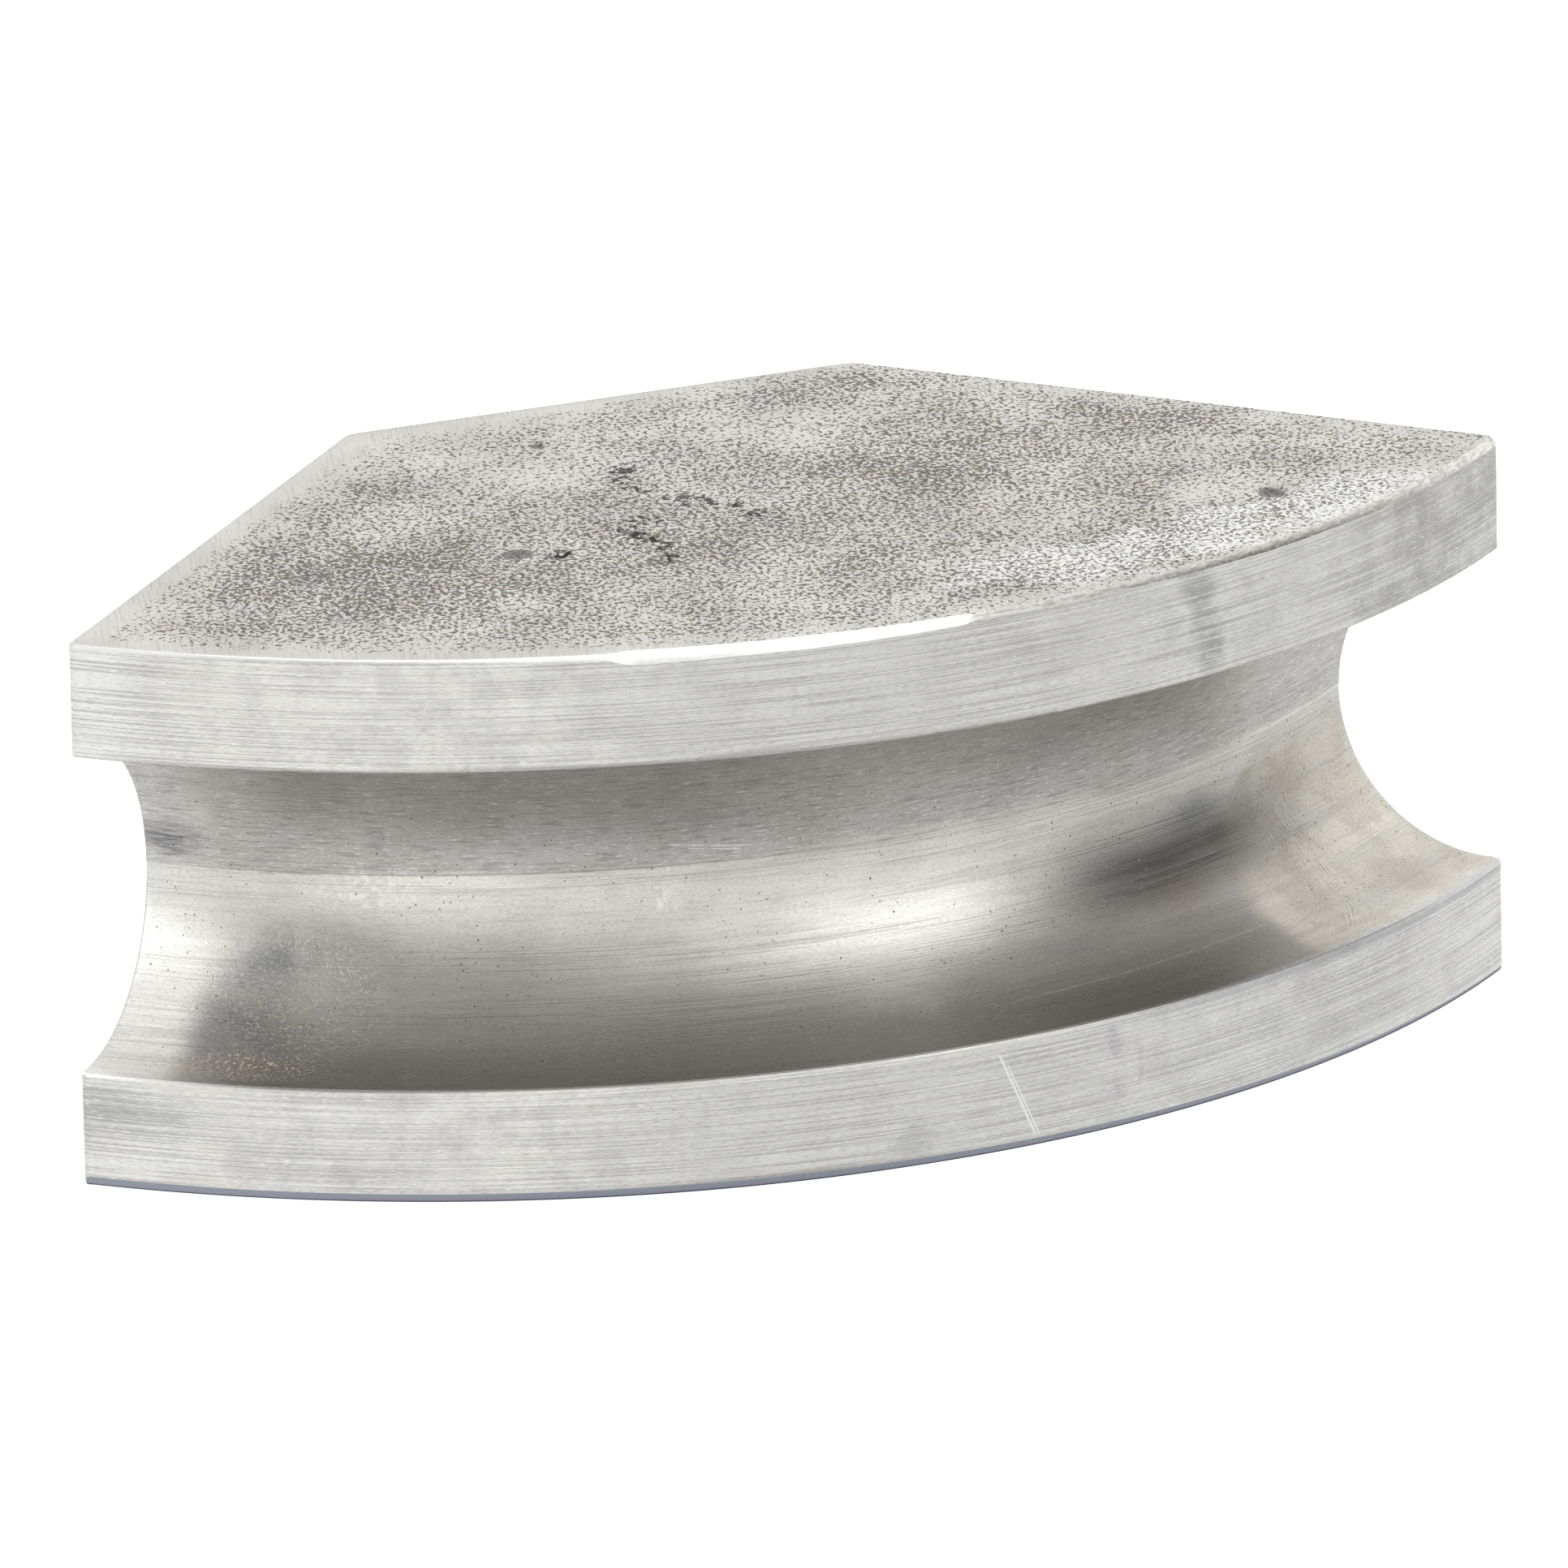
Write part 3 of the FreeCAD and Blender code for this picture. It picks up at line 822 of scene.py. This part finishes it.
def groove_metal(f, turned, along, across, upper):
    """The groove's metal without its marks: a greyer upper half, painted shade low down, painted dark and
    bright reflections in places, and a worn right end.
    """
    ragged = f.warped(turned, 6, 8)
    cloud = f.ease(f.noise(f.place, 14, 4), 0.4, 0.65)
    brown = f.noise(f.moved(f.place, 0, 60, 0), 16, 5, 0.6)
    # Painted shade low in the groove, towards the lower lip
    low_groove_shade = f.ease(f.total(across, f.swing(f.drawn(turned, 0.1), 5, 6)), -20.0, -40.0, 0.0, 0.95)
    # dark: painted dark reflections in the groove
    dark = f.spots(ragged, (93, -10, 16, 6.5, 0.7), (46, -27, 22, 8, 0.4))
    # light: painted bright reflections in the groove, and a painted reflection at its left end
    light = f.total(f.spots(ragged, (5, -28, 18, 10, 0.7), (-97, -15, 26, 8, 0.6)),
                    f.ease(along, -136.0, -141.0, 0.0, 0.3))
    reach = f.total(along, f.ease(across, -14.0, -3.0, 0.0, -20.0), f.swing(f.place, 9, 6))
    worn = f.times(f.ease(reach, 91.0, 97.0), f.ease(across, 2.0, -6.0))
    worn_tone = f.blend(f.ease(f.noise(f.place, 10, 4), 0.4, 0.62), (0.62, 0.595, 0.53), (0.52, 0.49, 0.42))
    worn_tone = f.blend(f.spot(ragged, 98, -29, 8, 14, 0.7), worn_tone, (0.80, 0.76, 0.68))
    f.tone = f.blend(upper, f.blend(cloud, (0.75, 0.74, 0.69), (0.70, 0.69, 0.645)),
                     f.blend(cloud, (0.61, 0.595, 0.57), (0.55, 0.535, 0.51)))
    f.coat(f.ease(brown, 0.5, 0.75, 0.0, 0.22), (0.5, 0.44, 0.38))
    f.coat(f.times(low_groove_shade, f.ease(along, -143.0, -136.0)), LOW_GROOVE_SHADE)
    # Painted dark reflections
    f.coat(dark, (0.34, 0.345, 0.355))
    f.coat(f.spot(ragged, 80, -22, 17, 8, 0.7), (0.66, 0.575, 0.53))
    # Painted bright reflections
    f.coat(light, (0.88, 0.87, 0.83))
    f.coat(worn, worn_tone)


def groove_lines(f, turned, upper, grain, streaks, broken):
    """The groove's grain, its sets of turning lines, and the tears and streaks of its rougher half.
    Returns how high the lines stand."""
    sets = f.noise(f.drawn(turned, 0.02), 5, 2)
    lines = f.noise(f.drawn(turned, 0.006), 0.32, 1)
    line_set = f.times(f.ease(sets, 0.42, 0.58), f.ease(lines, 0.5, 0.62))
    tears = f.times(f.ease(broken, 0.58, 0.7), f.ease(upper, 0.0, 1.0, 0.18, 0.75))
    f.coat(f.ease(grain, 0.5, 0.7, 0.0, 0.4), (0.36, 0.35, 0.335))
    f.coat(f.ease(grain, 0.46, 0.32, 0.0, 0.35), (0.92, 0.92, 0.90))
    f.coat(f.times(line_set, 0.34), (0.33, 0.33, 0.32))
    f.coat(tears, (0.95, 0.95, 0.94))
    f.coat(f.times(f.ease(streaks, 0.5, 0.66), f.ease(upper, 0.0, 1.0, 0.2, 0.6)), (0.31, 0.30, 0.29))
    return f.weighted((line_set, 0.014), (streaks, 0.014), (f.times(broken, upper), 0.022), (grain, 0.012))


def groove_marks(f, turned, along, across, ragged, broken):
    """Chatter rings, scratches and rubbed places in the groove. Returns how high they stand."""
    worn_end = f.times(f.ease(along, 103.0, 110.0), f.ease(across, -4.0, -10.0))
    chatter = f.times(f.times(f.swirl(turned, 94, -23, 34), worn_end), 0.55)
    swirl = f.total(chatter, f.times(f.swirl(turned, -146, -26, 18), 0.2))
    scratch = f.total(f.scratch(turned, (-41, 4.2), (-20, 2.4), 0.22),
                      f.scratch(turned, (-36, 3.2), (-24, 2.0), 0.15),
                      f.scratch(turned, (25, -36.5), (95, -35), 0.35, 0.35))
    scratch = f.times(scratch, f.ease(broken, 0.4, 0.55, 0.2, 0.9))
    rubbed = f.times(f.spots(ragged, (-104, -3, 17, 8), (-42, -5, 7, 6)),
                     f.ease(f.noise(f.place, 1.6, 5, 0.7), 0.48, 0.62))
    f.coat(swirl, (0.28, 0.26, 0.22))
    f.coat(f.total(scratch, f.times(rubbed, 0.6)), (0.95, 0.95, 0.94))
    return f.weighted((swirl, 0.03), (scratch, -0.02))


def specks(f, along):
    """Where the groove's small dark and rusty specks are, more of them on the right, and their color."""
    cells = f.node("ShaderNodeTexVoronoi", {"Vector": f.warped(f.place, 0.6, 0.6), "Scale": 1 / 1.2}).outputs
    picked = f.total(f.axis(cells["Color"], "X"), f.swing(f.place, 16, 1.1),
                     f.ease(along, 95.0, 115.0, 0.0, 0.3))
    speck = f.times(f.ease(cells["Distance"], 0.16, 0.1), f.ease(picked, 0.76, 0.8))
    rusty = f.ease(f.axis(cells["Color"], "Y"), 0.72, 0.75)
    return speck, f.blend(rusty, (0.10, 0.09, 0.085), (0.34, 0.20, 0.12))


def turned_groove():
    """The turned groove: a smoother lower half, a rougher upper half, and an uneven line between."""
    f = Finish("turned_groove", CLEAN, 0.3)
    turned = f.attribute("turned_mm", "Vector")
    ragged = f.warped(turned, 6, 12)
    along = f.axis(turned, "X")
    across = f.axis(turned, "Y")
    upper = f.ease(f.total(across, f.swing(f.drawn(turned, 0.1), 5, 4.0)), -1.2, 1.6)
    streaks = f.noise(f.drawn(turned, 0.08), 0.5, 4, 0.6)
    broken = f.noise(f.drawn(turned, 0.12), 0.35, 3)
    grain = f.noise(f.drawn(turned, 0.35), 0.32, 3, 0.6)
    bands = f.noise(f.drawn(turned, 0.04), 2.4, 4, 0.6)
    # Painted dark reflections low in the groove's left part
    dark_reflection_patch = f.spots(ragged, (-126, -17, 14, 9), (-129, -30, 18, 13))
    soot = f.times(f.spot(turned, -149, 5, 13, 6), f.ease(streaks, 0.35, 0.6, 0.3, 0.9))
    witness = f.times(f.ease(across, -0.4, 0.0), f.ease(across, 0.35, 0.0))
    grit = f.noise(f.warped(f.place, 0.5, 0.6), 0.6, 1)
    crumbs = f.times(f.spots(turned, (-128, -41, 22, 7), (-120, -26, 26, 18, 0.42)),
                     f.ease(grit, 0.57, 0.62, 0.0, 1.4))
    speck, speck_color = specks(f, along)
    groove_metal(f, turned, along, across, upper)
    f.coat(f.ease(bands, 0.48, 0.66, 0.0, 0.16), (0.42, 0.40, 0.385))
    f.coat(f.times(dark_reflection_patch, f.ease(grain, 0.3, 0.6, 0.6, 0.9)), (0.29, 0.295, 0.32))
    lines_height = groove_lines(f, turned, upper, grain, streaks, broken)
    marks_height = groove_marks(f, turned, along, across, ragged, broken)
    f.coat(soot, (0.16, 0.16, 0.18))
    f.coat(f.times(witness, f.ease(f.noise(turned, 6, 3), 0.45, 0.65, 0.0, 0.3)), (0.3, 0.29, 0.29))
    f.coat(f.times(witness, f.ease(along, 78.0, 92.0, 0.0, 0.5)), (0.96, 0.96, 0.96))
    f.coat(crumbs, GRIT)
    f.coat(f.times(speck, 0.85), speck_color)
    f.brushed_along_arc(0.8)
    f.set(Base_Color=f.tone, Metallic=f.math("SUBTRACT", 1.0, crumbs),
          Roughness=f.total(f.ease(upper, 0.0, 1.0, 0.27, 0.36), f.ease(bands, 0.4, 0.7, 0.0, 0.06)),
          Normal=f.bump(f.total(lines_height, marks_height, f.weighted((speck, -0.06), (crumbs, 0.15)))))
    return f.material


def filed_edge():
    """The broken edges: bright filed metal, duller at the ends and on the right, and painted shade along the
    base's edge.
    """
    f = Finish("filed_edge", (0.9, 0.9, 0.88), 0.3)
    turned = f.attribute("turned_mm", "Vector")
    along = f.axis(turned, "X")
    height = f.axis(f.place, "Z")
    grain = f.noise(f.drawn(turned, 0.2), 0.4, 3)
    file_marks = f.noise(f.place, 0.8, 3)
    at_top = f.ease(height, 90.0, 95.0)
    # below: where painted shade darkens the base's edge, standing in for the floor's shadow seen in it
    below = f.ease(height, 2.6, 2.2)
    dull_right = f.times(f.times(f.ease(along, 12.0, 14.0), at_top), f.ease(grain, 0.4, 0.6, 0.4, 0.8))
    dull_left = f.times(f.ease(along, -60.0, -95.0, 0.0, 0.7), at_top)
    # lower_lip: where the painted highlight on the lower lip's row is dimmed, towards the right
    lower_lip = f.times(f.ease(along, 10.0, 60.0, 0.0, 0.8), f.ease(height, 50.0, 40.0))
    f.tone = f.blend(f.ease(grain, 0.5, 0.7, 0.0, 0.3), (0.99, 0.99, 0.98), (0.84, 0.84, 0.82))
    f.coat(dull_right, (0.50, 0.49, 0.42))
    f.coat(dull_left, (0.68, 0.68, 0.66))
    # Dims the painted lip highlight on the right
    f.coat(lower_lip, (0.46, 0.46, 0.48))
    # Painted shade along the base's edge: dark bluish and less metallic towards the floor
    f.coat(below, f.blend(f.ease(height, 0.7, 0.4), (0.31, 0.335, 0.395), (0.08, 0.08, 0.12)))
    f.set(Base_Color=f.tone, Metallic=f.ease(height, 2.6, 2.2, 1.0, 0.2),
          Roughness=f.ease(file_marks, 0.3, 0.7, 0.26, 0.4),
          Normal=f.bump(f.weighted((grain, 0.02), (file_marks, 0.02))))
    return f.material


def milled(name, stretch):
    """A milled face: fine parallel marks, and light stains."""
    f = Finish(name, CLEAN, 0.34)
    marks = f.noise(f.scaled(f.place, *stretch), 0.5, 2)
    swathes = f.noise(f.scaled(f.place, *stretch), 6, 1)
    cloud = f.noise(f.place, 12, 5, 0.6)
    grain = f.noise(f.place, 0.7, 2)
    f.tone = f.blend(f.ease(cloud, 0.4, 0.65), (0.68, 0.675, 0.645), (0.62, 0.615, 0.59))
    f.coat(f.ease(marks, 0.5, 0.7, 0.0, 0.35), (0.38, 0.38, 0.37))
    f.coat(f.ease(grain, 0.6, 0.75, 0.0, 0.25), (0.34, 0.33, 0.31))
    f.set(Base_Color=f.tone, Roughness=f.ease(swathes, 0.35, 0.65, 0.32, 0.38),
          Normal=f.bump(f.weighted((marks, 0.015), (swathes, 0.005), (grain, 0.008))))
    return f.material


def bored():
    """The casting's sockets and holes, left as bored."""
    f = Finish("bored", (0.55, 0.55, 0.53), 0.4)
    rings = f.noise(f.scaled(f.place, 0.02, 1, 0.02), 0.4, 2)
    f.set(Roughness=f.ease(rings, 0.3, 0.7, 0.34, 0.46), Normal=f.bump(f.times(rings, 0.02)))
    return f.material


def steel(name, dark, light, roughness, mark, height):
    """Machined or coated steel, with turning marks about the ram's axis and uneven tone."""
    f = Finish(name, light, roughness)
    radius = f.length(f.scaled(f.moved(f.place, 0, 0, -GROOVE_Z), 1, 0, 1))
    rings = f.noise(f.combined(X=radius), mark, 2)
    cloud = f.noise(f.place, 8, 4, 0.6)
    grain = f.noise(f.place, 0.35, 2)
    f.coat(f.ease(cloud, 0.38, 0.66, 0.0, 0.35), dark)
    f.coat(f.ease(rings, 0.45, 0.7, 0.0, 0.3), dark)
    f.set(Base_Color=f.tone, Roughness=f.ease(cloud, 0.3, 0.7, roughness - 0.05, roughness + 0.08),
          Normal=f.bump(f.weighted((rings, height), (grain, height / 2))))
    return f.material


def coil_spring(material):
    """A true helix in place of the frame's stack of half turns."""
    low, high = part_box("detent_spring")
    coil_r = (high.x - low.x) / 2 / MM - WIRE_R
    bottom, top = low.z / MM + WIRE_R, high.z / MM - WIRE_R
    turns = OPEN_TURNS + 2 * DEAD_TURNS
    t = np.linspace(0, turns, round(turns * TURN_STEPS) + 1)
    dead_rise = DEAD_PITCH * DEAD_TURNS
    height = np.interp(t, (0, DEAD_TURNS, turns - DEAD_TURNS, turns),
                       (bottom, bottom + dead_rise, top - dead_rise, top))
    out = np.stack([np.cos(2 * math.pi * t), np.sin(2 * math.pi * t), 0 * t], -1)
    middle = coil_r * out + np.stack([0 * t, DETENT_Y + 0 * t, height], -1)
    run = np.gradient(middle, axis=0)
    run /= np.linalg.norm(run, axis=1, keepdims=True)
    side = np.cross(run, out)
    shell = Shell()
    turn = np.linspace(0, 2 * math.pi, WIRE_STEPS, endpoint=False)
    rings = [middle + WIRE_R * (math.cos(a) * out + math.sin(a) * side) for a in turn]
    index = shell.add(np.stack(rings, 1))
    shell.grid(np.column_stack([index, index[:, 0]]), 0)
    shell.polygon(index[0], 0)
    shell.polygon(index[-1], 0)
    data = shell.mesh("coil_spring")
    data.materials.append(material)
    data.shade_smooth()
    piece = add_object("coil_spring", data)
    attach(piece, "shoe")
    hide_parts("detent_spring")
    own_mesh(piece)


def dress_hardware():
    """Gives the steel pieces their materials."""
    turned = steel("turned_steel", (0.40, 0.40, 0.41), (0.62, 0.62, 0.62), 0.28, 0.5, 0.02)
    hard = steel("hardened_steel", (0.22, 0.21, 0.22), (0.36, 0.35, 0.36), 0.32, 0.6, 0.015)
    black = steel("black_screw_steel", (0.020, 0.020, 0.022), (0.05, 0.05, 0.052), 0.36, 0.8, 0.01)
    spring = steel("spring_steel", (0.28, 0.27, 0.26), (0.45, 0.44, 0.43), 0.3, 0.8, 0.005)
    coil_spring(spring)
    for material, nodes in ((turned, ("ram_socket", "detent_sleeve")),
                            (hard, ("thrust_pad", "detent_plunger")),
                            (black, ("socket_screws", "detent_plug"))):
        for node in nodes:
            data = frame["nodes"][node].data
            data.materials.clear()
            data.materials.append(material)


def casting():
    """The shoe itself, with one material for each zone, in the zones' order."""
    data = casting_shell().mesh("shoe_casting")
    for material in (cast_top(), filed_edge(), turned_rim(), turned_groove(),
                     milled("milled_end", UPRIGHT_MARKS), milled("milled_base", LEVEL_MARKS),
                     milled("milled_back", LEVEL_MARKS), bored()):
        data.materials.append(material)
    piece = add_object("shoe_casting", data)
    cut_sockets(piece)
    measure(piece.data)
    piece.data.shade_smooth()
    piece.data.set_sharp_from_angle(angle=SHARP_ANGLE)
    flatten_ends(piece.data)
    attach(piece, "shoe")
    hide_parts("bending_shoe")


# ---------------------------------------------------------------- studio

CAMERA_AZIMUTH = -21.8
CAMERA_ELEVATION = 18.65
CAMERA_ROLL = math.radians(-1.2)
CAMERA_DISTANCE = 4577
CAMERA_AIM = Vector((4.4, -2.1, 50.6))
CAMERA_LENS = 573.5
SENSOR_WIDTH = 36.0
SIGHT_M = 100
FLOOR_R = 20000.0
FLOOR_STEPS = 96
FLOOR_DROP = 0.1             # how far below the base it lies
FLOOR_GLOW = 0.9

# The studio's light: how bright it is all round, the least that is left in a gap, then the soft lamps
# and the dark gaps between them: azimuth and elevation, how narrow each is, and how much it adds or
# takes away
EVEN_LIGHT = 0.9
LEAST_LIGHT = 0.02
KEY_LAMP = (33, 34, 30, 1.4)
LEFT_LAMP = (-72, 30, 26, 2.0)
RIGHT_LAMP = (110, 20, 20, 0.6)
REAR_LAMP = (150, 0, 26, 1.2)
TOP_LAMP = (0, 90, 12, 0.9)
PALE_TABLE = (-30, -15, 9, 0.4)
GAP_BY_KEY = (70, 27, 13, -1.2)
GAP_BY_LEFT = (-52, 25, 30, -0.9)
GAP_OVER_CAMERA = (-30, 50, 12, -0.6)
GAP_BELOW = (0, -60, 8, -1.1)
GLOWS = (KEY_LAMP, LEFT_LAMP, RIGHT_LAMP, REAR_LAMP, TOP_LAMP, PALE_TABLE,
         GAP_BY_KEY, GAP_BY_LEFT, GAP_OVER_CAMERA, GAP_BELOW)


def toward(azimuth, elevation):
    """Unit vector out of the object: azimuth 0 is the side that faces -Y, and 90 is +X."""
    a, e = math.radians(azimuth), math.radians(elevation)
    return Vector((math.sin(a) * math.cos(e), -math.cos(a) * math.cos(e), math.sin(e)))


def camera():
    """A long lens, a little above the object and to its left, and rolled slightly."""
    data = bpy.data.cameras.new("camera")
    data.sensor_width = SENSOR_WIDTH
    data.lens = CAMERA_LENS
    data.clip_end = SIGHT_M
    item = add_object("camera", data)
    back = toward(CAMERA_AZIMUTH, CAMERA_ELEVATION)
    level = Vector((0, 0, 1)).cross(back).normalized()
    up = back.cross(level)
    right = level * math.cos(CAMERA_ROLL) + up * math.sin(CAMERA_ROLL)
    turn = Matrix((right, back.cross(right), back)).transposed().to_4x4()
    item.matrix_world = Matrix.Translation((CAMERA_AIM + back * CAMERA_DISTANCE) * MM) @ turn
    bpy.context.scene.camera = item


def floor():
    """A plain pale floor. Only the camera sees it, so that it doesn't block the light from below."""
    shell = Shell()
    turn = np.linspace(0, 2 * math.pi, FLOOR_STEPS, endpoint=False)
    ring = shell.add(np.stack([FLOOR_R * np.cos(turn), FLOOR_R * np.sin(turn), 0 * turn - FLOOR_DROP], -1))
    shell.polygon(ring, 0)
    f = Finish("pale_floor", (0.9, 0.9, 0.9), 0.8, 0.0)
    f.set(Emission_Color=(1, 1, 1, 1), Emission_Strength=FLOOR_GLOW)
    data = shell.mesh("floor")
    data.materials.append(f.material)
    item = add_object("floor", data)
    item.visible_diffuse = False
    item.visible_glossy = False
    item.visible_shadow = False
    item.visible_transmission = False


def world():
    """Even light from all round, brighter at the lamps and darker at the gaps. The camera sees white."""
    item = bpy.data.worlds.new("studio")
    item.use_nodes = True
    tree = item.node_tree
    direction = tree.nodes.new("ShaderNodeTexCoord").outputs["Generated"]

    def math_node(operation, *values):
        return add_node(tree, "ShaderNodeMath", dict(enumerate(values)), operation=operation).outputs[0]

    light = EVEN_LIGHT
    for azimuth, elevation, sharpness, strength in GLOWS:
        facing = add_node(tree, "ShaderNodeVectorMath", {0: direction, 1: toward(azimuth, elevation)},
                          operation="DOT_PRODUCT").outputs["Value"]
        fall = math_node("MULTIPLY_ADD", facing, sharpness, -sharpness)
        light = math_node("MULTIPLY_ADD", math_node("EXPONENT", fall), strength, light)
    light = math_node("MAXIMUM", light, LEAST_LIGHT)
    seen = tree.nodes.new("ShaderNodeLightPath").outputs["Is Camera Ray"]
    light = math_node("MAXIMUM", light, seen)
    tree.links.new(light, tree.nodes["Background"].inputs["Color"])
    bpy.context.scene.world = item


def studio():
    world()
    floor()
    camera()
    bpy.context.scene.view_settings.view_transform = "Standard"


casting()
dress_hardware()
studio()
